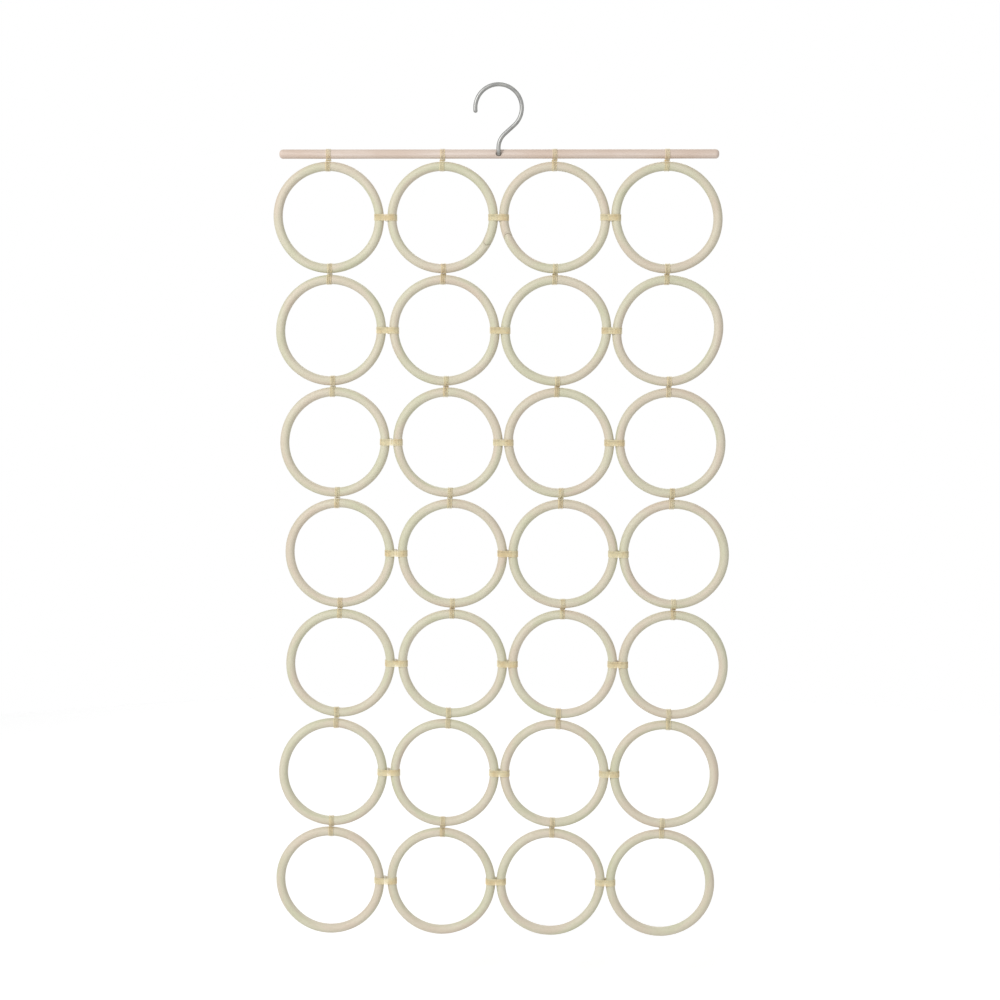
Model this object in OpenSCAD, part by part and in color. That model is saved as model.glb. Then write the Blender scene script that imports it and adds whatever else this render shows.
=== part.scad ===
// Scarf hanger: a wire hook runs down the front of a round wooden bar and its foot turns in a hole
// through the bar. Under the bar hangs a net of cane rings, tied with string to each other and to the bar.
// Origin at the seat inside the hook's top. +X runs along the bar, +Z is up, the front faces -Y.
// All sizes are in millimetres.

/* [Cane rings] */
// Thickness of the cane that each ring is bent from
cane_d = 8; // [6:0.5:9]
// Radius of a ring, at the middle of its cane
ring_r = 44; // [36:1:50]
// Clear gap between a ring and the ring tied below it
row_gap = 1.5; // [1.5:0.5:4]
// Clear gap between the two columns on the left
left_gap = 3; // [1:0.5:4]
// Clear gap between the two middle columns
middle_gap = 1; // [1:0.5:4]
// Clear gap between the two columns on the right
right_gap = 1; // [1:0.5:4]

/* [Bar] */
// Length of the bar
bar_l = 380; // [340:5:440]
// Thickness of the bar
bar_d = 8; // [8:0.5:12]
// Radius that each end of the bar is rounded to
bar_round = 3; // [2:0.5:3.5]
// Height of the hook's seat above the middle of the bar
bar_drop = 57; // [57:0.5:70]
// Clear gap between the bar and the rings tied under it
bar_gap = 2.5; // [1:0.5:4]

/* [Hook] */
// Thickness of the hook's wire
wire_d = 3.6; // [3:0.2:4]
// Radius of the hook's bend, at the middle of the wire
bend_r = 20; // [18:0.5:20]
// Radius of the small bend that turns the wire upright over the bar
neck_r = 16; // [10:1:18]
// Angle at which the bend ends in its free tip
tip_angle = 187; // [175:1:195]
// Angle at which the bend runs out into the sloping straight
slope_angle = 48; // [44:1:52]
// Radius of the bend that turns the wire back into the bar, at the middle of the wire
foot_r = 3; // [2.4:0.2:3.4]
// Play of the foot all round in its hole in the bar
foot_play = 0.05; // [0.03:0.01:0.1]
// Clear gap between the wire and the front of the bar
front_gap = 0.1; // [0.1:0.05:0.3]
// Diameter of the washer behind the bar
washer_d = 6; // [5.8:0.2:7]
// Thickness of the washer
washer_t = 0.8; // [0.5:0.1:1]
// Diameter of the head that the foot is hammered into behind the washer
head_d = 5.2; // [4.6:0.2:5.6]

/* [String ties] */
// Thickness of the string
string_d = 0.5; // [0.4:0.1:1]
// Width, along the cane, of a tie that hangs one row from the next
hang_w = 4.5; // [3:0.5:6]
// Width, along the cane, of a tie between two rings of one row
side_w = 6; // [3:0.5:8]
// Room all round between a cane and the string wound on it
tie_play = 0.1; // [0.1:0.05:0.2]
// Thickness, from front to back, of the string's crossing between two canes
crossing_t = 2.6; // [1.5:0.1:4]

/* [Hidden] */
ROWS = 7;
COLS = 4;
// Facets round a large and a small circle
LARGE = 96;
SMALL = 32;
// How far each row hangs to the right of the hook, from the top row down
row_sway = [-1, 0.5, 3.5, 7.5, 7.5, 0.5, -2.5];

STEEL = "silver";
CANE = [0.86, 0.83, 0.74];
WOOD = [0.88, 0.81, 0.74];
STRING = [0.84, 0.75, 0.54];

// Columns: the middle of each ring, with the four centred under the hook
col_gaps = [left_gap, middle_gap, right_gap];
col_pitch = [for (g = col_gaps) 2 * ring_r + cane_d + g];
net_w = col_pitch[0] + col_pitch[1] + col_pitch[2];
function col_x(c) = c == 0 ? -net_w / 2 : col_x(c - 1) + col_pitch[c - 1];

// Rows: the middle of each ring, from the top row down
bar_z = -bar_drop;
hang_span = bar_d / 2 + bar_gap + cane_d / 2;
row_span = cane_d + row_gap;
row_pitch = 2 * ring_r + row_span;
function row_z(r) = bar_z - hang_span - ring_r - r * row_pitch;
function ring_x(r, c) = col_x(c) + row_sway[r];

// Hook: the bend, the slope and the neck meet in tangents, and the neck ends over the bar's middle.
// The foot goes back through the middle of the bar, whose hole is countersunk for the foot's bend.
bar_y = wire_d / 2 + front_gap + bar_d / 2;
bend_z = wire_d / 2 - bend_r;
slope_x = bend_r * cos(slope_angle);
slope_z = bend_z - bend_r * sin(slope_angle);
slope_l = (slope_x - neck_r * (1 - cos(slope_angle))) / sin(slope_angle);
neck_z = slope_z - slope_l * cos(slope_angle) - neck_r * sin(slope_angle);
foot_z = bar_z + foot_r;
hole_d = wire_d + 2 * foot_play;
countersink_t = 1.6;
countersink_d = hole_d + 1.6;
spot_face_d = washer_d + 0.4;
spot_face_t = 1.4;
spot_face_y = bar_y + bar_d / 2 - spot_face_t;
head_play = 0.1;
head_t = 1.4;
head_y = spot_face_y + washer_t + head_play;
ball_extra = 0.04;

// Ties: thin string, which shows no separate turns. One that hangs a row is wound in figures of eight
// and is plain: a sleeve round each of its two canes and a crossing between them. One between two
// rings of a row is a plain band straight round both canes. Each leaves room for the cane's bend.
function bend_room(shift, w) = ring_r - sqrt(ring_r * ring_r - pow(shift / 2 + w / 2, 2));
function sleeve_r(d, shift, w) = d / 2 + tie_play + bend_room(shift, w);
function sway_step(r) = r == 0 ? 0 : abs(row_sway[r] - row_sway[r - 1]);

// A stretch of the hook's wire bent round a centre, from one angle to another
module wire_bend(x, z, r, from, to)
    translate([x, 0, z]) rotate([90, 0, 0]) rotate([0, 0, from])
        rotate_extrude(angle = to - from, $fn = LARGE) translate([r, 0]) circle(d = wire_d, $fn = SMALL);

// A ball that fills the joint of two stretches of wire, and rounds its free end
module wire_ball(x, y, z) translate([x, y, z]) sphere(d = wire_d + ball_extra, $fn = SMALL);

// A straight stretch of wire along +Z
module wire_run(l) cylinder(d = wire_d, h = l, $fn = SMALL);

module hook() color(STEEL) {
    wire_ball(bend_r * cos(tip_angle), 0, bend_z + bend_r * sin(tip_angle));
    wire_bend(0, bend_z, bend_r, -slope_angle, tip_angle);
    wire_ball(slope_x, 0, slope_z);
    translate([slope_x, 0, slope_z]) rotate([0, slope_angle - 180, 0]) wire_run(slope_l);
    wire_ball(neck_r * (1 - cos(slope_angle)), 0, neck_z + neck_r * sin(slope_angle));
    wire_bend(neck_r, neck_z, neck_r, 180 - slope_angle, 180);
    wire_ball(0, 0, neck_z);
    translate([0, 0, foot_z]) wire_run(neck_z - foot_z);
    wire_ball(0, 0, foot_z);
    rotate([0, 0, 90]) wire_bend(foot_r, foot_z, foot_r, 180, 270);
    wire_ball(0, foot_r, bar_z);
    translate([0, foot_r, bar_z]) rotate([-90, 0, 0]) wire_run(head_y + head_t / 2 - foot_r);
    translate([0, head_y, bar_z]) rotate([-90, 0, 0]) rotate_extrude($fn = SMALL) hook_head();
}

// Half outline of the hammered head: flat against the washer, domed behind
module hook_head() intersection() {
    square([head_d / 2, head_t]);
    dome_r = (head_d * head_d / 4 + head_t * head_t) / (2 * head_t);
    translate([0, head_t - dome_r]) circle(r = dome_r, $fn = LARGE);
}

module hook_washer() color(STEEL)
    translate([0, spot_face_y, bar_z]) rotate([-90, 0, 0]) difference() {
        cylinder(d = washer_d, h = washer_t, $fn = SMALL);
        cylinder(d = hole_d, h = 4 * washer_t, center = true, $fn = SMALL);
    }

// Half outline of the bar, standing on end, with both ends rounded
module bar_outline() intersection() {
    translate([0, -bar_l / 2]) square([bar_d / 2, bar_l]);
    union() {
        translate([0, bar_round - bar_l / 2]) square([bar_d / 2, bar_l - 2 * bar_round]);
        translate([0, -bar_l / 2]) square([bar_d / 2 - bar_round, bar_l]);
        for (end = [-1, 1])
            translate([bar_d / 2 - bar_round, end * (bar_l / 2 - bar_round)])
                circle(r = bar_round, $fn = SMALL);
    }
}

module bar() color(WOOD)
    translate([0, bar_y, bar_z]) difference() {
        rotate([0, 90, 0]) rotate_extrude($fn = LARGE) bar_outline();
        rotate([90, 0, 0]) cylinder(d = hole_d, h = 2 * bar_d, center = true, $fn = SMALL);
        translate([0, -bar_d / 2, 0]) rotate([-90, 0, 0])
            cylinder(d1 = countersink_d, d2 = hole_d, h = countersink_t, $fn = SMALL);
        translate([0, spot_face_y - bar_y, 0]) rotate([-90, 0, 0])
            cylinder(d = spot_face_d, h = bar_d, $fn = SMALL);
    }

module ring(r, c) color(CANE)
    translate([ring_x(r, c), bar_y, row_z(r)]) rotate([90, 0, 0])
        rotate_extrude($fn = LARGE) translate([ring_r, 0]) circle(d = cane_d, $fn = SMALL);

// A tie along X: its upper sleeve is round the origin, and its lower one hangs the span below
module tie(w, upper_r, lower_r, span)
    rotate([90, 0, 90]) translate([0, 0, -w / 2]) linear_extrude(w) difference() {
        union() {
            circle(r = upper_r + string_d, $fn = SMALL);
            translate([0, -span]) circle(r = lower_r + string_d, $fn = SMALL);
            translate([-crossing_t / 2, -span]) square([crossing_t, span]);
        }
        circle(r = upper_r, $fn = SMALL);
        translate([0, -span]) circle(r = lower_r, $fn = SMALL);
    }

// A tie like it, but straight round both canes
module band(w, r, span)
    rotate([90, 0, 90]) translate([0, 0, -w / 2]) linear_extrude(w) difference() {
        union() {
            for (z = [0, -span]) translate([0, z]) circle(r = r + string_d, $fn = SMALL);
            translate([-r - string_d, -span]) square([2 * (r + string_d), span]);
        }
        for (z = [0, -span]) translate([0, z]) circle(r = r, $fn = SMALL);
    }

// The four ties that hang one row from the bar, or from the row above, midway between the two canes
module hang_ties(r) color(STRING)
    for (c = [0 : COLS - 1]) {
        over_x = r == 0 ? ring_x(0, c) : ring_x(r - 1, c);
        span = r == 0 ? hang_span : row_span;
        lower_r = sleeve_r(cane_d, sway_step(r), hang_w);
        upper_r = r == 0 ? bar_d / 2 + tie_play : lower_r;
        translate([(over_x + ring_x(r, c)) / 2, bar_y, row_z(r) + ring_r + span])
            tie(hang_w, upper_r, lower_r, span);
    }

// The three ties between neighbours of one row, each round two upright stretches of cane
module side_ties(r) color(STRING)
    for (c = [0 : COLS - 2])
        translate([ring_x(r, c) + ring_r, bar_y, row_z(r)]) rotate([0, -90, 0])
            band(side_w, sleeve_r(cane_d, 0, side_w), cane_d + col_gaps[c]);

hook();
hook_washer();
bar();
for (r = [0 : ROWS - 1]) {
    for (c = [0 : COLS - 1])
        ring(r, c);
    hang_ties(r);
    side_ties(r);
}
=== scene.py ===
# %% [markdown]
# # A scarf hanger of cane rings
# A wire hook carries a round wooden bar, and under the bar hangs a net of
# twenty-eight cane rings, tied to each other with string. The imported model
# already holds every part at its real size, so this lesson only dresses it:
# it bends each ring from cane, winds each tie from twisted string, and gives
# the wood, the cane, the string and the steel their finish.

# %% Load the fixed frame
import math
import random

import bmesh
import bpy
from mathutils import Matrix, Vector


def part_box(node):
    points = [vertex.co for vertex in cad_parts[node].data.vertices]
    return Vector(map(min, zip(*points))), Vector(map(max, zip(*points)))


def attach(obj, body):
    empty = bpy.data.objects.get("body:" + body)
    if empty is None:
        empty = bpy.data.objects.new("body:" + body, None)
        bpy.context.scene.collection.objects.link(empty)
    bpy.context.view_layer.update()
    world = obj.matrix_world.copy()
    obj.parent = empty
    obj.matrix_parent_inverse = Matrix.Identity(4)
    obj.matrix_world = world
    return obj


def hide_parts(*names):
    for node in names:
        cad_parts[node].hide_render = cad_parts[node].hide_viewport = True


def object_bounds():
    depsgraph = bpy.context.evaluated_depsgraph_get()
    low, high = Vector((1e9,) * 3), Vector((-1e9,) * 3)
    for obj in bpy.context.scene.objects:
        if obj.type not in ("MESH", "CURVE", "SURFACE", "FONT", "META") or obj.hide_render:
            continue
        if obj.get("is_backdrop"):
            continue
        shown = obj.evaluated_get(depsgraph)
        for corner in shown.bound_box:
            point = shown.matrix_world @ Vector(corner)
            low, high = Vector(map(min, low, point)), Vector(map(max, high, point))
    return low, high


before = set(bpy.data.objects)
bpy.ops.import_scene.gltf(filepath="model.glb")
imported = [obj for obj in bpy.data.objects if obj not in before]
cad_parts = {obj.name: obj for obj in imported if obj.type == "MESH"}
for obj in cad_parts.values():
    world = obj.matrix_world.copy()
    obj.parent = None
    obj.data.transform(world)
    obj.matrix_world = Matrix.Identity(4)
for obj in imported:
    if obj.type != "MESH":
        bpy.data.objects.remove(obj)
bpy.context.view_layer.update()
MM = 0.001
TURN = 2 * math.pi
print("nodes in the frame:", len(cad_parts))

# %% [markdown]
# The camera stands about 1.8 m in front of the hanger, a little above its
# middle, and looks slightly down. A long lens keeps the rows parallel. The
# camera comes first, because everything after it is judged through it.

# %% Camera
PHOTO_WIDTH = 1000
FOCAL_PIXELS = 2063
SENSOR = 36
CAMERA_DISTANCE = 1.8
CAMERA_AZIMUTH = math.radians(1.6)
CAMERA_ELEVATION = math.radians(4.5)
CAMERA_ROLL = math.radians(0.1)
CAMERA_TARGET = Vector((1.8, 0, -356.4)) * MM


def make_camera():
    camera = bpy.data.cameras.new("camera")
    camera.lens = FOCAL_PIXELS * SENSOR / PHOTO_WIDTH
    camera.sensor_width = SENSOR
    level = math.cos(CAMERA_ELEVATION)
    x = math.sin(CAMERA_AZIMUTH) * level
    y = -math.cos(CAMERA_AZIMUTH) * level
    back = Vector((x, y, math.sin(CAMERA_ELEVATION)))
    turn = back.to_track_quat("Z", "Y") @ Matrix.Rotation(CAMERA_ROLL, 3, "Z").to_quaternion()
    place = Matrix.Translation(CAMERA_TARGET + CAMERA_DISTANCE * back)
    stand = bpy.data.objects.new("camera", camera)
    stand.matrix_world = place @ turn.to_matrix().to_4x4()
    bpy.context.collection.objects.link(stand)
    bpy.context.scene.camera = stand
    return camera


print("lens in millimetres:", round(make_camera().lens, 1))

# %% [markdown]
# Shader maths reads best as plain arithmetic. Wire wraps one output socket
# and turns + - and * into Math nodes, also where a number comes first.

# %% A socket that can be reckoned with


class Wire:
    def __init__(self, graph, socket):
        self.graph = graph
        self.socket = socket

    def math(self, operation, *others):
        return self.graph.node("ShaderNodeMath", {"operation": operation}, [self, *others])

    def __add__(self, other):
        return self.math("ADD", other)

    def __sub__(self, other):
        return self.math("SUBTRACT", other)

    def __rsub__(self, other):
        return self.graph.node("ShaderNodeMath", {"operation": "SUBTRACT"}, [other, self])

    def __mul__(self, other):
        return self.math("MULTIPLY", other)

    __radd__ = __add__
    __rmul__ = __mul__


# %% [markdown]
# A material is a graph of nodes that ends in one shader. Graph adds each
# node through one method, so that a finish is a few lines long. Two steps
# come back in most finishes and have a method each: grain, which is noise
# drawn out along a piece, and glaze, which lays a paint over the base where
# a mask is up.

# %% A graph of nodes
# A Mix node has its colour sockets under the same names as its number ones, so they go by number.
MIX_FACTOR = 0
MIX_FIRST = 6
MIX_SECOND = 7
MIX_RESULT = 2


class Graph:
    def __init__(self, name):
        self.material = bpy.data.materials.new(name)
        self.material.use_nodes = True
        self.tree = self.material.node_tree
        self.shader = self.tree.nodes["Principled BSDF"]

    def node(self, kind, settings, values, output=0):
        """Adds a node, with its settings first and then the number or wire of each socket."""
        made = self.tree.nodes.new(kind)
        for key, value in settings.items():
            setattr(made, key, value)
        pairs = values.items() if isinstance(values, dict) else enumerate(values)
        for key, value in pairs:
            self.put(made.inputs[key], value)
        return Wire(self, made.outputs[output])

    def put(self, socket, value):
        if isinstance(value, Wire):
            self.tree.links.new(value.socket, socket)
        else:
            socket.default_value = value

    def place(self):
        return self.node("ShaderNodeTexCoord", {}, {}, output="Object")

    def split(self, vector):
        node = self.node("ShaderNodeSeparateXYZ", {}, [vector])
        return [Wire(self, socket) for socket in node.socket.node.outputs]

    def join(self, x, y, z):
        return self.node("ShaderNodeCombineXYZ", {}, [x, y, z])

    def noise(self, vector, scale, detail, roughness=0.5):
        values = {"Vector": vector, "Scale": scale, "Detail": detail, "Roughness": roughness}
        return self.node("ShaderNodeTexNoise", {}, values)

    def grain(self, place, run, cross, **noise):
        """Noise whose place is multiplied by run along the piece and by cross in the other two ways."""
        along, across, over = place
        return self.noise(self.join(along * run, across * cross, over * cross), **noise)

    def mix(self, factor, first, second):
        values = {MIX_FACTOR: factor, MIX_FIRST: first, MIX_SECOND: second}
        return self.node("ShaderNodeMix", {"data_type": "RGBA"}, values, output=MIX_RESULT)

    def glaze(self, base, paint, mask, share):
        return self.mix(mask * share, base, paint)

    def span(self, value, low, high, to_low=0.0, to_high=1.0):
        values = [value, low, high, to_low, to_high]
        return self.node("ShaderNodeMapRange", {"interpolation_type": "SMOOTHSTEP"}, values)

    def bump(self, height, distance):
        bumps = self.node("ShaderNodeBump", {}, {"Height": height, "Distance": distance})
        self.put(self.shader.inputs["Normal"], bumps)

    def finish(self, **sockets):
        for name, value in sockets.items():
            self.put(self.shader.inputs[name.replace("_", " ").title()], value)
        print(self.material.name, "has", len(self.tree.nodes), "nodes")
        return self.material


# %% [markdown]
# A colour is easiest to choose as a screen shows it, from 0 to 255, and
# Blender wants it as linear light. The numbers in the last line are those of
# the curve that screens use.

# %% Colours


def colour(red, green, blue):
    steps = [value / 255 for value in (red, green, blue)]
    return [s / 12.92 if s < 0.04045 else ((s + 0.055) / 1.055) ** 2.4 for s in steps] + [1.0]


print("middle grey as linear light:", round(colour(128, 128, 128)[0], 3))

# %% [markdown]
# Peeled cane is pale straw, a little pink in one stretch and a little green
# in the next, with fine fibres along its length. Each ring carries a UV map
# in metres along the cane and turns round it, so the fibres follow the bend.
# The turns go through cosine and sine, and the pattern then has no seam
# along the cane; each ring starts at its own place in the pattern.

# %% Cane finish
CANE_PALE = colour(217, 211, 191)
CANE_DEEP = colour(189, 180, 150)
CANE_PINK = colour(213, 198, 180)
CANE_GREEN = colour(203, 203, 174)
CANE_JOINT = colour(118, 98, 72)
CANE_RELIEF = 0.12 * MM
CANE_PORE_DEPTH = 0.4


def cane_finish():
    graph = Graph("peeled_cane")
    uv = graph.node("ShaderNodeUVMap", {"uv_map": "cane"}, {})
    along, turns, _ = graph.split(uv)
    angle = turns * TURN
    place = (along, angle.math("COSINE"), angle.math("SINE"))
    fibres = graph.grain(place, run=45, cross=1, scale=11, detail=4, roughness=0.6)
    pores = graph.grain(place, run=110, cross=1.7, scale=16, detail=2)
    pore_mask = graph.span(pores, low=0.60, high=0.72)
    tint = graph.grain(place, run=17, cross=0.3, scale=1, detail=2)
    shade = graph.grain(place, run=30, cross=0.6, scale=1.4, detail=3)
    base = graph.mix(graph.span(tint, low=0.38, high=0.62), CANE_GREEN, CANE_PINK)
    base = graph.glaze(base, CANE_PALE, graph.span(shade, low=0.25, high=0.75), share=0.75)
    base = graph.glaze(base, CANE_DEEP, graph.span(fibres, low=0.42, high=0.75), share=0.45)
    base = graph.glaze(base, CANE_DEEP, pore_mask, share=0.35)
    joint = graph.node("ShaderNodeAttribute", {"attribute_name": "joint"}, {}, output="Fac")
    base = graph.mix(joint, base, CANE_JOINT)
    graph.bump(fibres - pore_mask * CANE_PORE_DEPTH, CANE_RELIEF)
    rough = graph.span(fibres, low=0.3, high=0.7, to_low=0.46, to_high=0.62)
    return graph.finish(Base_Color=base, Roughness=rough)


cane = cane_finish()

# %% [markdown]
# A ring is one length of cane, soaked, bent round and joined end to end. A
# circle is spun round the ring's middle. That gives a plain round ring, whose
# points lie in loops across the cane and can be moved afterwards.

# %% Spin a ring
CANE_SIDES = 24
RING_STEPS = 144


def cane_measures(node):
    """Centre of a ring, radius of its middle line and radius of its cane."""
    low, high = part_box(node)
    cane_radius = (high.y - low.y) / 2
    return (low + high) / 2, (high.x - low.x) / 2 - cane_radius, cane_radius


def spin_ring(ring_radius, cane_radius):
    bm = bmesh.new()
    place = Matrix.Translation((ring_radius, 0, 0))
    bmesh.ops.create_circle(bm, segments=CANE_SIDES, radius=cane_radius, matrix=place)
    bmesh.ops.spin(
        bm, geom=bm.verts[:] + bm.edges[:], cent=(0, 0, 0), axis=(0, 1, 0),
        angle=TURN, steps=RING_STEPS, use_merge=True,
    )
    bmesh.ops.recalc_face_normals(bm, faces=bm.faces[:])
    return bm


print("cane thickness in millimetres:", round(2 * cane_measures("ring_1_1")[2] / MM, 2))

# %% [markdown]
# The two ends of the cane meet at the joint. There the loops of points close
# up to a narrow groove, and where the joint shows, the groove is cut on a
# slant through the cane. Under a tie it is shallow and pale.

# %% The joint of a ring
GROOVE_HALF = 0.28 * MM
GROOVE_DEPTH = 0.45 * MM
SCARF_SLANT = math.tan(math.radians(50))
SCARF_REACH = math.radians(30)

# Under a tie the groove has this share of its depth, and this share of its dark colour.
HIDDEN_DEPTH = 0.3
HIDDEN_DARK = 0.4

# One end of the cane is thicker by this share, and the other one thinner.
STEP_UP = 0.012


def turn_from_joint(along, ring_radius):
    """Angle between the joint and a loop of points; the loops beside the joint close up to it."""
    if along == 1:
        return GROOVE_HALF / ring_radius
    if along == RING_STEPS - 1:
        return TURN - GROOVE_HALF / ring_radius
    return along / RING_STEPS * TURN


# %% [markdown]
# The bend of a real ring is never a perfect circle, and the cane is a little
# thicker here and thinner there. So every point moves a little, by smooth
# waves round the ring. They come down to almost nothing where the ring is
# tied, and the string still fits.

# %% Bend the cane
# Each ripple in the thickness of the cane has a share of it, and a number of waves round the ring.
LONG_SWELL = 0.010
LONG_WAVES = 3
SHORT_SWELL = 0.008
SHORT_WAVES = 7

# The bend has a second wave on it, twice as fine and with this share of its height.
FINE_BEND = 0.4


def bend_cane(bm, centre, ring_radius, cane_radius, joint, shown, bend, wave, seed):
    """Moves every point of a spun ring to its place on the bent cane, and marks the joint."""
    luck = random.Random(seed)
    long_start = luck.uniform(0, TURN)
    short_start = luck.uniform(0, TURN)
    along_layer = bm.verts.layers.int.new("along")
    around_layer = bm.verts.layers.int.new("around")
    joint_layer = bm.verts.layers.float.new("joint")
    for vert in bm.verts:
        x, y, z = vert.co
        along = round(math.atan2(z, x) / TURN * RING_STEPS) % RING_STEPS
        around = math.atan2(y, math.hypot(x, z) - ring_radius)
        vert[along_layer] = along
        vert[around_layer] = round(around / TURN * CANE_SIDES) % CANE_SIDES
        turn = turn_from_joint(along, ring_radius)
        nearness = max(0.0, 1 - min(turn, TURN - turn) / SCARF_REACH)
        slant = shown * nearness * SCARF_SLANT * y / ring_radius
        angle = joint + turn + slant
        untied = math.sin(2 * angle)
        swell = LONG_SWELL * math.sin(LONG_WAVES * angle + long_start)
        swell += SHORT_SWELL * math.sin(SHORT_WAVES * angle + short_start)
        step_up = STEP_UP * (math.pi - turn) / math.pi
        section_radius = cane_radius * (1 + swell * untied**2 + step_up * abs(untied))
        if along == 0:
            section_radius = cane_radius - GROOVE_DEPTH * (1 if shown else HIDDEN_DEPTH)
            vert[joint_layer] = 1 if shown else HIDDEN_DARK
        out = ring_radius + bend * (untied + FINE_BEND * math.sin(4 * angle))
        out += section_radius * math.cos(around)
        back = wave * untied + section_radius * math.sin(around)
        vert.co = centre + Vector((out * math.cos(angle), back, out * math.sin(angle)))


# %% [markdown]
# The fibres have to follow the bend, so the ring is unrolled to a flat map.
# The last face of a loop reaches past the end of the map instead of back to
# its start, because the pattern would be squeezed into it otherwise.

# %% Unroll the cane


def unroll_cane(bm, ring_radius, start):
    """Writes the UV map: metres along the cane from the joint, and turns round it."""
    uv = bm.loops.layers.uv.new("cane")
    along_layer = bm.verts.layers.int["along"]
    around_layer = bm.verts.layers.int["around"]
    for face in bm.faces:
        last_step = max(vert[along_layer] for vert in face.verts) == RING_STEPS - 1
        last_side = max(vert[around_layer] for vert in face.verts) == CANE_SIDES - 1
        for loop in face.loops:
            along = loop.vert[along_layer]
            around = loop.vert[around_layer]
            if last_step and along == 0:
                along = RING_STEPS
            if last_side and around == 0:
                around = CANE_SIDES
            loop[uv].uv = (start + along / RING_STEPS * TURN * ring_radius, around / CANE_SIDES)


# %% [markdown]
# Every finished piece is made the same way: its mesh becomes an object at
# the origin, shaded smooth, which rides on its body of the frame and takes
# the place of the plain solid there.

# %% Hand a mesh over to the frame


def add_piece(name, mesh, material, body, node):
    mesh.name = name
    mesh.polygons.foreach_set("use_smooth", [True] * len(mesh.polygons))
    mesh.materials.clear()
    mesh.materials.append(material)
    piece = bpy.data.objects.new(name, mesh)
    bpy.context.collection.objects.link(piece)
    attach(piece, body)
    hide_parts(node)
    return piece


# %% [markdown]
# The joints of two rings show from the front, low on the sides where the
# middle columns meet: they are cut on a slant. On the others the ends meet
# squarely at the top or the bottom of the ring, and string is tied over them.
# Every ring is bent by hand, so each gets its own small bend and its own
# start in the pattern. The bends of two in the last column are listed.

# %% All the rings
ROWS = 7
COLUMNS = 4
TOP = math.pi / 2
BOTTOM = 3 * math.pi / 2
SHOWN_JOINTS = {(1, 2): math.radians(-26), (1, 3): math.radians(205)}
HIDDEN_ABOVE = 0.5
BENDS_BY_EYE = {(2, 4): 0.8 * MM, (1, 4): -0.5 * MM}
BEND = 0.45 * MM
WAVE = 0.5 * MM
START_STEP = 7.31
RING_SEED = 28


def tied_joint(row, column, luck):
    """Angle of the tie above or below a ring, where its joint is hidden."""
    above = row == ROWS or (row > 1 and luck.random() < HIDDEN_ABOVE)
    other = row - 1 if above else row + 1
    centre, ring_radius, _ = cane_measures(f"ring_{row}_{column}")
    shift = cane_measures(f"ring_{other}_{column}")[0].x - centre.x
    lean = math.asin(shift / 2 / ring_radius)
    return TOP - lean if above else BOTTOM + lean


def make_rings():
    luck = random.Random(RING_SEED)
    faces = 0
    for row in range(1, ROWS + 1):
        for column in range(1, COLUMNS + 1):
            node = f"ring_{row}_{column}"
            centre, ring_radius, cane_radius = cane_measures(node)
            shown = (row, column) in SHOWN_JOINTS
            joint = SHOWN_JOINTS[row, column] if shown else tied_joint(row, column, luck)
            bend = BENDS_BY_EYE.get((row, column), luck.uniform(-BEND, BEND))
            wave = luck.uniform(-WAVE, WAVE)
            number = COLUMNS * row + column
            bm = spin_ring(ring_radius, cane_radius)
            bend_cane(bm, centre, ring_radius, cane_radius, joint, shown, bend, wave, seed=number)
            unroll_cane(bm, ring_radius, START_STEP * number)
            mesh = bpy.data.meshes.new(node)
            bm.to_mesh(mesh)
            bm.free()
            faces += len(mesh.polygons)
            add_piece(f"cane_ring_{row}_{column}", mesh, cane, f"row_{row}", node)
    return faces


print("faces in the rings:", make_rings())

# %% [markdown]
# The string is a thin natural twine, laid up from three strands. Its sheen
# is dull, and its fibres vary from straw to a dull gold. The pattern is
# fine and without a direction, so it needs no map and reads the place.

# %% String finish
STRING_STRAW = colour(250, 239, 201)
STRING_GOLD = colour(243, 223, 178)
STRING_DARK = colour(219, 197, 153)
STRING_RELIEF = 0.08 * MM


def string_finish():
    graph = Graph("twisted_string")
    where = graph.place()
    patches = graph.noise(where, scale=90, detail=2)
    fibres = graph.noise(where, scale=2400, detail=3, roughness=0.6)
    base = graph.mix(graph.span(patches, low=0.35, high=0.65), STRING_GOLD, STRING_STRAW)
    base = graph.glaze(base, STRING_DARK, graph.span(fibres, low=0.5, high=0.75), share=0.4)
    graph.bump(fibres, STRING_RELIEF)
    rough = graph.span(fibres, low=0.3, high=0.7, to_low=0.85, to_high=0.95)
    return graph.finish(Base_Color=base, Roughness=rough, Sheen_Weight=0.15, Sheen_Roughness=0.5)


string = string_finish()

# %% [markdown]
# Each tie is one unbroken piece of string. A curve follows its route; the
# curve's profile has three lobes, one for each strand, and a steady tilt
# lays them up like rope.

# %% The three strands
STRING_RADIUS = 0.26 * MM
STRANDS = 3
PROFILE_POINTS = 9
STRAND_GROOVE = 0.16


def lobed_profile():
    data = bpy.data.curves.new("string_profile", "CURVE")
    data.dimensions = "2D"
    spline = data.splines.new("POLY")
    spline.points.add(PROFILE_POINTS - 1)
    spline.use_cyclic_u = True
    for i, point in enumerate(spline.points):
        angle = TURN * i / PROFILE_POINTS
        radius = STRING_RADIUS * (1 - STRAND_GROOVE * (1 - abs(math.cos(STRANDS * angle / 2))))
        point.co = (radius * math.cos(angle), radius * math.sin(angle), 0, 1)
    return bpy.data.objects.new("string_profile", data)


print("string thickness in millimetres:", round(2 * STRING_RADIUS / MM, 2))

# %% [markdown]
# A route is worked out as a few points for each turn. A Catmull-Rom curve
# goes through them all, and it is cut into steps of nearly one length, which
# keeps the twist of the string even.

# %% A smooth route
STRING_STEP = 0.3 * MM
FINE_STEP = STRING_STEP / 3
LEAST_CUTS = 2


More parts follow.
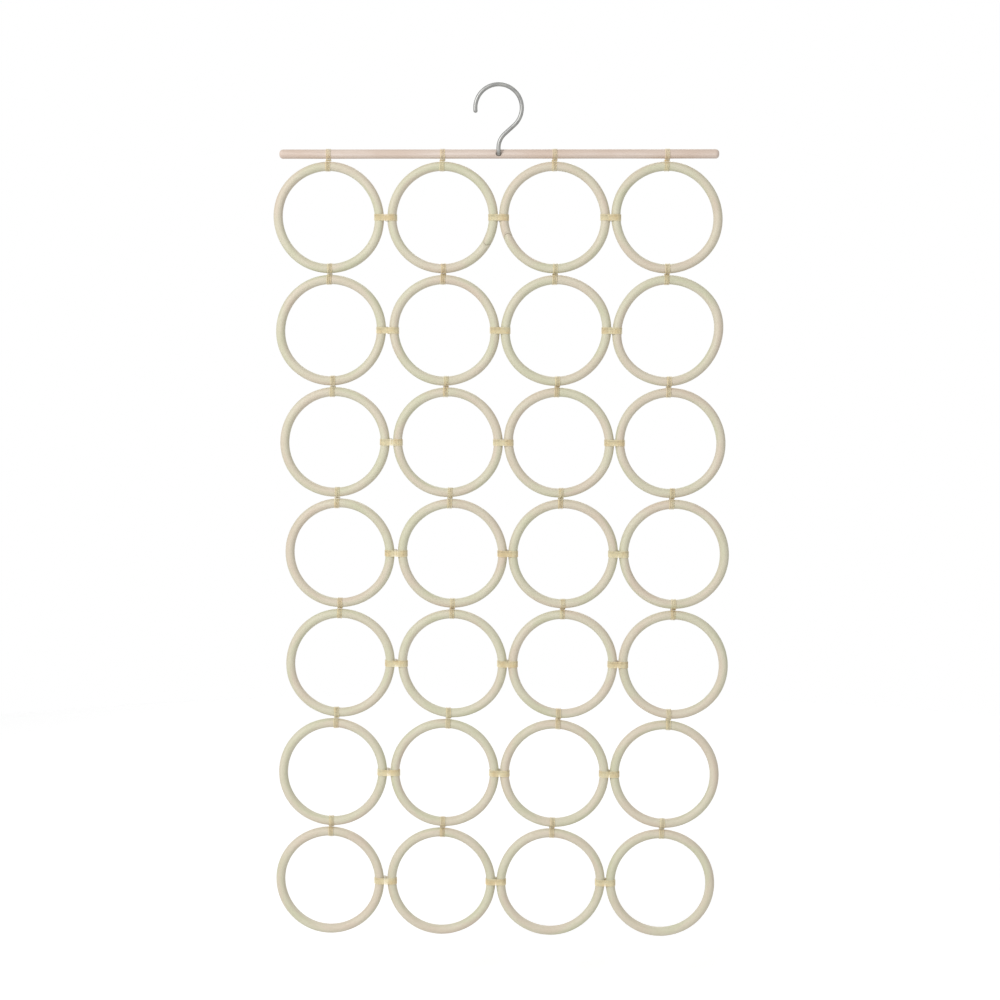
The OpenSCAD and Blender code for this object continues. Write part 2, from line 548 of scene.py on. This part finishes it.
def curve_point(before, start, end, after, t):
    """The point at share t of the way from start to end, by the formula of a Catmull-Rom curve."""
    slope = end - before
    bend = 2 * before - 5 * start + 4 * end - after
    twist = 3 * start - before - 3 * end + after
    return 0.5 * (2 * start + slope * t + bend * t**2 + twist * t**3)


def smooth_route(points):
    """A smooth curve through the points, cut into steps of nearly one length."""
    ends = [2 * points[0] - points[1], *points, 2 * points[-1] - points[-2]]
    fine = []
    for before, start, end, after in zip(ends, ends[1:], ends[2:], ends[3:]):
        cuts = max(LEAST_CUTS, math.ceil((end - start).length / FINE_STEP))
        fine += [curve_point(before, start, end, after, cut / cuts) for cut in range(cuts)]
    fine.append(points[-1])
    route = [fine[0]]
    since = 0.0
    for before, after in zip(fine, fine[1:]):
        since += (after - before).length
        if since >= STRING_STEP:
            route.append(after)
            since = 0.0
    return route


# %% [markdown]
# The lay of a string is the length in which a strand goes once round it.
# Blender turns the profile by the tilt of each point, so the tilt grows by a
# full turn in each lay.

# %% Lay up a string
LAY = 2.1 * MM


def lay_string(data, route):
    """Adds one string along its route to a curve, and gives its length."""
    spline = data.splines.new("POLY")
    spline.points.add(len(route) - 1)
    travelled = 0.0
    for i, place in enumerate(route):
        if i > 0:
            travelled += (place - route[i - 1]).length
        spline.points[i].co = (*place, 1)
        spline.points[i].tilt = TURN * travelled / LAY
    return travelled


# %% [markdown]
# A tie that hangs a row is wound in figures of eight: over the upper cane
# from front to back, through the gap to the front of the lower cane, round
# that, and back up through the gap. A tie between two rings of a row goes
# straight round both, so its turns lie across the gap in front and behind.
# Both routes are written in the tie's own axes: X along the canes, Z from
# the lower cane to the upper one, Y to the back. The string moves along X
# by one pitch a turn: a share of it on each cane, and the rest in the gap.

# %% The route of a tie
ARC_STEPS = 14
LEAST_CROSSING = math.radians(12)
EIGHT_START = 0.25
EIGHT_ARC = 0.44
BAND_START = 0.05
BAND_ARC = 0.4


def ring_point(x, radius, angle, height):
    return Vector((x, radius * math.cos(angle), radius * math.sin(angle) + height))


def wind(turns, pitch, start, arc, place_on_arc):
    """Points of a string that goes round the upper and the lower cane in each turn."""
    points = []
    for turn in range(turns):
        for lower in (False, True):
            for step in range(ARC_STEPS + 1):
                share = step / ARC_STEPS
                done = turn + lower / 2 + arc * share
                x = pitch * (turns / 2 - start - done)
                points.append(place_on_arc(x, lower, share))
    return points


def eight_points(turns, pitch, upper_radius, lower_radius, span):
    crossing = max(LEAST_CROSSING, math.acos(min(1.0, (upper_radius + lower_radius) / span)))
    sweep = TURN - 2 * crossing

    def place_on_arc(x, lower, share):
        if lower:
            return ring_point(x, lower_radius, TURN / 4 + crossing + sweep * share, -span)
        return ring_point(x, upper_radius, 3 * TURN / 4 - crossing - sweep * share, 0)

    return wind(turns, pitch, EIGHT_START, EIGHT_ARC, place_on_arc)


def band_points(turns, pitch, radius, span):
    def place_on_arc(x, lower, share):
        return ring_point(x, radius, TURN / 2 * (lower + share), -span if lower else 0)

    return wind(turns, pitch, BAND_START, BAND_ARC, place_on_arc)


# %% [markdown]
# The two ends are twisted round each other into a small knot, which lies in
# the valley between the canes at the back, where nothing rubs on it. Inside
# a band it is hidden under the turns.

# %% The knot of a tie
KNOT_HALF = 1.2 * MM
KNOT_RADIUS = 0.28 * MM
KNOT_TURNS = 1.25
KNOT_POINTS = 11
KNOT_BACK = 3.4 * MM
TAIL = 1.0 * MM
TAIL_SPREAD = 0.3
TAIL_BACK = 0.2 * MM
TAIL_DROP = 0.5 * MM
LEAD = 0.1 * MM
EIGHT_DEPTH = 1.9 * MM
BAND_DEPTH = 3.7 * MM


def knot_strand(phase, height):
    """One of the two string ends, wound round the other from left to right."""
    strand = []
    for step in range(KNOT_POINTS):
        share = step / (KNOT_POINTS - 1)
        angle = phase + KNOT_TURNS * TURN * share
        point = ring_point(KNOT_HALF * (2 * share - 1), KNOT_RADIUS, angle, height)
        strand.append(point + Vector((0, KNOT_BACK, 0)))
    return strand


def knotted_route(wound, middle, depth, luck):
    """The turns with both string ends led to the knot, at a height between the canes."""
    left, right = (TAIL * luck.uniform(1 - TAIL_SPREAD, 1 + TAIL_SPREAD) for _ in range(2))
    tail_y = KNOT_BACK + TAIL_BACK
    tail_z = middle - TAIL_DROP
    left_tail = [Vector((-KNOT_HALF - left, tail_y, tail_z))]
    right_tail = [Vector((KNOT_HALF + right, tail_y, tail_z))]
    into_gap = [Vector((wound[0].x + LEAD, depth, middle))]
    out_of_gap = [Vector((wound[-1].x - LEAD, depth, middle))]
    first = knot_strand(0, middle)
    last = knot_strand(math.pi, middle)
    return left_tail + first + into_gap + wound + out_of_gap + last + right_tail


# %% [markdown]
# Blender works out the solid of a curve with a profile when it is asked for
# it, and that solid is kept as a mesh. Several strings may share one mesh.

# %% From routes to a mesh
WELD = 0.001 * MM


def tie_mesh(name, routes, profile):
    """Lays a string along every route, and gives them as one mesh and their length together."""
    data = bpy.data.curves.new(name, "CURVE")
    data.dimensions = "3D"
    data.twist_mode = "MINIMUM"
    data.bevel_mode = "OBJECT"
    data.bevel_object = profile
    data.use_fill_caps = True
    total = sum(lay_string(data, route) for route in routes)
    carrier = bpy.data.objects.new(name, data)
    bpy.context.collection.objects.link(carrier)
    bpy.context.view_layer.update()
    shape = carrier.evaluated_get(bpy.context.evaluated_depsgraph_get())
    mesh = bpy.data.meshes.new_from_object(shape)
    bpy.data.objects.remove(carrier)
    bm = bmesh.new()
    bm.from_mesh(mesh)
    bmesh.ops.remove_doubles(bm, verts=bm.verts[:], dist=WELD)
    bmesh.ops.recalc_face_normals(bm, faces=bm.faces[:])
    bm.to_mesh(mesh)
    bm.free()
    return mesh, total


# %% [markdown]
# The ties between two rows hang midway between the ring above and the ring
# below; the top ones go round the bar. The cane bends away from the tie, so
# the string is wound a little wider than the cane, with some play.

# %% Routes of the hanging ties
HANG_TURNS = 4
HANG_PITCH = 1.1 * MM
PLAY = 0.1 * MM


def wound_radius(cane_radius, ring_radius, reach):
    """Radius for the middle of a string round a cane that bends away, as far out as reach."""
    return cane_radius + PLAY + ring_radius - math.sqrt(ring_radius**2 - reach**2) + STRING_RADIUS


def hang_routes(row, luck):
    routes = []
    bar_low, bar_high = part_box("bar")
    half_width = HANG_PITCH * HANG_TURNS / 2
    for column in range(1, COLUMNS + 1):
        centre, ring_radius, cane_radius = cane_measures(f"ring_{row}_{column}")
        if row == 1:
            upper_x = centre.x
            top_z = (bar_high.z + bar_low.z) / 2
            lower = wound_radius(cane_radius, ring_radius, half_width)
            upper = (bar_high.z - bar_low.z) / 2 + PLAY + STRING_RADIUS
        else:
            above = cane_measures(f"ring_{row - 1}_{column}")[0]
            upper_x = above.x
            top_z = above.z - ring_radius
            lower = wound_radius(cane_radius, ring_radius, half_width + abs(centre.x - upper_x) / 2)
            upper = lower
        span = top_z - centre.z - ring_radius
        wound = eight_points(HANG_TURNS, HANG_PITCH, upper, lower, span)
        route = knotted_route(wound, (lower - upper - span) / 2, EIGHT_DEPTH, luck)
        move = Matrix.Translation(((centre.x + upper_x) / 2, centre.y, top_z))
        routes.append(smooth_route([move @ point for point in route]))
    return routes


# %% [markdown]
# A side tie is a band lying down, with its upper cane on the left. It has
# more turns than a hanging tie, and they lie closer together.

# %% Routes of the side ties
SIDE_TURNS = 8
SIDE_PITCH = 0.7 * MM
LYING = Matrix.Rotation(-math.pi / 2, 4, "Y")


def side_routes(row, luck):
    routes = []
    for column in range(1, COLUMNS):
        left, ring_radius, cane_radius = cane_measures(f"ring_{row}_{column}")
        right = cane_measures(f"ring_{row}_{column + 1}")[0]
        radius = wound_radius(cane_radius, ring_radius, SIDE_PITCH * SIDE_TURNS / 2)
        span = right.x - left.x - 2 * ring_radius
        wound = band_points(SIDE_TURNS, SIDE_PITCH, radius, span)
        route = knotted_route(wound, -span / 2, BAND_DEPTH, luck)
        move = Matrix.Translation((left.x + ring_radius, left.y, left.z)) @ LYING
        routes.append(smooth_route([move @ point for point in route]))
    return routes


# %% [markdown]
# The hanging ties of a row are one piece and its side ties another, because
# each group is one node in the frame too.

# %% All the ties
TIE_SEED = 7


def make_ties():
    luck = random.Random(TIE_SEED)
    profile = lobed_profile()
    used = 0.0
    for row in range(1, ROWS + 1):
        name = f"hanging_strings_{row}"
        mesh, length = tie_mesh(name, hang_routes(row, luck), profile)
        add_piece(name, mesh, string, f"ties_{row}", f"hang_ties_{row}")
        used += length
        name = f"side_strings_{row}"
        mesh, length = tie_mesh(name, side_routes(row, luck), profile)
        add_piece(name, mesh, string, f"row_{row}", f"side_ties_{row}")
        used += length
    bpy.data.objects.remove(profile)
    return used


print("string used, in metres:", round(make_ties(), 2))

# %% [markdown]
# The bar is a plain pole of pale wood. Its growth rings are tubes round the
# heart of the tree, which lies outside so thin a bar, so one pattern gives
# the long grain on the side and the arcs on the rounded ends.

# %% Wood finish
WOOD_PALE = colour(225, 211, 201)
WOOD_DEEP = colour(199, 177, 158)
WOOD_WARM = colour(211, 190, 175)
HEART_BACK = 9 * MM
HEART_DOWN = 5 * MM
GROWTH_STEP = 1.5 * MM
GROWTH_DRIFT = 2.2 * MM
WOOD_RELIEF = 0.08 * MM
WOOD_PORE_DEPTH = 0.5


def wood_finish():
    low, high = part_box("bar")
    middle = (low + high) / 2
    graph = Graph("bare_wood")
    x, y, z = graph.split(graph.place())
    back = y - (middle.y + HEART_BACK)
    up = z - (middle.z - HEART_DOWN)
    drift = graph.grain((x, y, z), run=6, cross=40, scale=1, detail=2)
    distance = (back * back + up * up).math("SQRT") + drift * GROWTH_DRIFT
    growth = (distance * (TURN / GROWTH_STEP)).math("SINE") * 0.5 + 0.5
    fibres = graph.grain((x, y, z), run=0.05, cross=1, scale=2600, detail=3, roughness=0.6)
    pores = graph.grain((x, y, z), run=0.03, cross=1, scale=3600, detail=1)
    pore_mask = graph.span(pores, low=0.62, high=0.74)
    patches = graph.grain((x, y, z), run=14, cross=30, scale=1, detail=2)
    base = graph.mix(graph.span(patches, low=0.3, high=0.7), WOOD_WARM, WOOD_PALE)
    base = graph.glaze(base, WOOD_DEEP, growth, share=0.35)
    base = graph.glaze(base, WOOD_DEEP, graph.span(fibres, low=0.45, high=0.8), share=0.3)
    base = graph.glaze(base, WOOD_DEEP, pore_mask, share=0.3)
    graph.bump(fibres - pore_mask * WOOD_PORE_DEPTH, WOOD_RELIEF)
    rough = graph.span(fibres, low=0.3, high=0.7, to_low=0.55, to_high=0.7)
    return graph.finish(Base_Color=base, Roughness=rough)


def dress(node, material):
    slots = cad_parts[node].data.materials
    slots.clear()
    slots.append(material)


dress("bar", wood_finish())

# %% [markdown]
# The hook is drawn steel wire with a thin zinc coat, and its washer has the
# same one. Zinc is a little mottled and finely specked, and neither mirror
# bright nor dull.

# %% Steel finish
ZINC_LIGHT = colour(158, 158, 155)
ZINC_DARK = colour(140, 140, 138)
ZINC_RELIEF = 0.01 * MM


def steel_finish():
    graph = Graph("zinc_coated_wire")
    where = graph.place()
    mottle = graph.noise(where, scale=260, detail=3)
    specks = graph.noise(where, scale=2200, detail=2)
    base = graph.mix(graph.span(mottle, low=0.3, high=0.7), ZINC_DARK, ZINC_LIGHT)
    graph.bump(specks, ZINC_RELIEF)
    rough = graph.span(mottle, low=0.3, high=0.7, to_low=0.40, to_high=0.52)
    return graph.finish(Base_Color=base, Roughness=rough, Metallic=0.9)


steel = steel_finish()
for node in ("hook", "hook_washer"):
    dress(node, steel)

# %% [markdown]
# The room is a wide pale floor well below the hanger and plain white all
# round. To the camera and in reflections both are brighter than the light
# they give, so the background is white and the hanger isn't flooded.

# %% White to look at
WHITE = (1, 1, 1, 1)


def shown_white(tree, plain, strength, add):
    """Adds white to what the camera and glossy rays see, or shows them white alone.

    The light that a surface or the world gives to anything else stays as it is.
    """
    nodes, links = tree.nodes, tree.links
    path = nodes.new("ShaderNodeLightPath")
    seen = nodes.new("ShaderNodeMath")
    seen.operation = "MAXIMUM"
    links.new(path.outputs["Is Camera Ray"], seen.inputs[0])
    links.new(path.outputs["Is Glossy Ray"], seen.inputs[1])
    white = nodes.new("ShaderNodeEmission" if add else "ShaderNodeBackground")
    white.inputs["Color"].default_value = WHITE
    white.inputs["Strength"].default_value = strength
    shown = white.outputs[0]
    if add:
        both = nodes.new("ShaderNodeAddShader")
        links.new(plain, both.inputs[0])
        links.new(shown, both.inputs[1])
        shown = both.outputs[0]
    choice = nodes.new("ShaderNodeMixShader")
    links.new(seen.outputs[0], choice.inputs["Fac"])
    links.new(plain, choice.inputs[1])
    links.new(shown, choice.inputs[2])
    return choice.outputs[0]


# %% [markdown]
# The floor keeps the hanger's shadow, so it only glows a little on top of
# its own pale colour.

# %% Floor
FLOOR_DROP = 60 * MM
FLOOR_RADIUS = 1.6
FLOOR_SIDES = 96
FLOOR_WHITE = colour(238, 238, 238)
FLOOR_ROUGHNESS = 0.9
FLOOR_GLOW = 0.3


def make_floor():
    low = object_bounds()[0]
    bm = bmesh.new()
    place = Matrix.Translation((0, 0, low[2] - FLOOR_DROP))
    bmesh.ops.create_circle(bm, cap_ends=True, segments=FLOOR_SIDES, radius=FLOOR_RADIUS, matrix=place)
    mesh = bpy.data.meshes.new("floor")
    bm.to_mesh(mesh)
    bm.free()
    material = bpy.data.materials.new("pale_floor")
    material.use_nodes = True
    tree = material.node_tree
    shader = tree.nodes["Principled BSDF"]
    shader.inputs["Base Color"].default_value = FLOOR_WHITE
    shader.inputs["Roughness"].default_value = FLOOR_ROUGHNESS
    surface = tree.nodes["Material Output"].inputs["Surface"]
    tree.links.new(shown_white(tree, shader.outputs[0], FLOOR_GLOW, add=True), surface)
    mesh.materials.append(material)
    floor = bpy.data.objects.new("floor", mesh)
    bpy.context.collection.objects.link(floor)
    floor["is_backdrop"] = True
    return low[2] - FLOOR_DROP


print("height of the floor in metres:", round(make_floor(), 3))

# %% [markdown]
# The world is white to look at and gives half as much light from all round.

# %% World
WORLD_STRENGTH = 0.5
WORLD_GLOW = 1.0


def make_world():
    world = bpy.data.worlds.new("white_room")
    world.use_nodes = True
    tree = world.node_tree
    plain = tree.nodes["Background"]
    plain.inputs["Color"].default_value = WHITE
    plain.inputs["Strength"].default_value = WORLD_STRENGTH
    surface = tree.nodes["World Output"].inputs["Surface"]
    tree.links.new(shown_white(tree, plain.outputs[0], WORLD_GLOW, add=False), surface)
    bpy.context.scene.world = world


make_world()

# %% [markdown]
# A soft lamp stands in front on the left, above the hanger, a much weaker
# one fills in from the right, and a third one lights the back. With the
# world they give a level at which a colour renders about as it is written.

# %% Lamps
HANGER_MIDDLE = Vector((0, 0, -0.36))


def add_lamp(name, place, size, power):
    data = bpy.data.lights.new(name, "AREA")
    data.shape = "DISK"
    data.size = size
    data.energy = power
    lamp = bpy.data.objects.new(name, data)
    lamp.location = place
    lamp.rotation_euler = (HANGER_MIDDLE - Vector(place)).to_track_quat("-Z", "Y").to_euler()
    bpy.context.collection.objects.link(lamp)


add_lamp("key_lamp", place=(-1.5, -2.0, 0.8), size=0.9, power=41)
add_lamp("fill_lamp", place=(1.6, -1.4, 0.4), size=1.4, power=3)
add_lamp("back_lamp", place=(0.4, 1.8, 1.2), size=1.4, power=14)
print("lamps:", len(bpy.data.lights))

# %% [markdown]
# Colours stay as written under the Standard view transform.

# %% Finish
bpy.context.scene.view_settings.view_transform = "Standard"
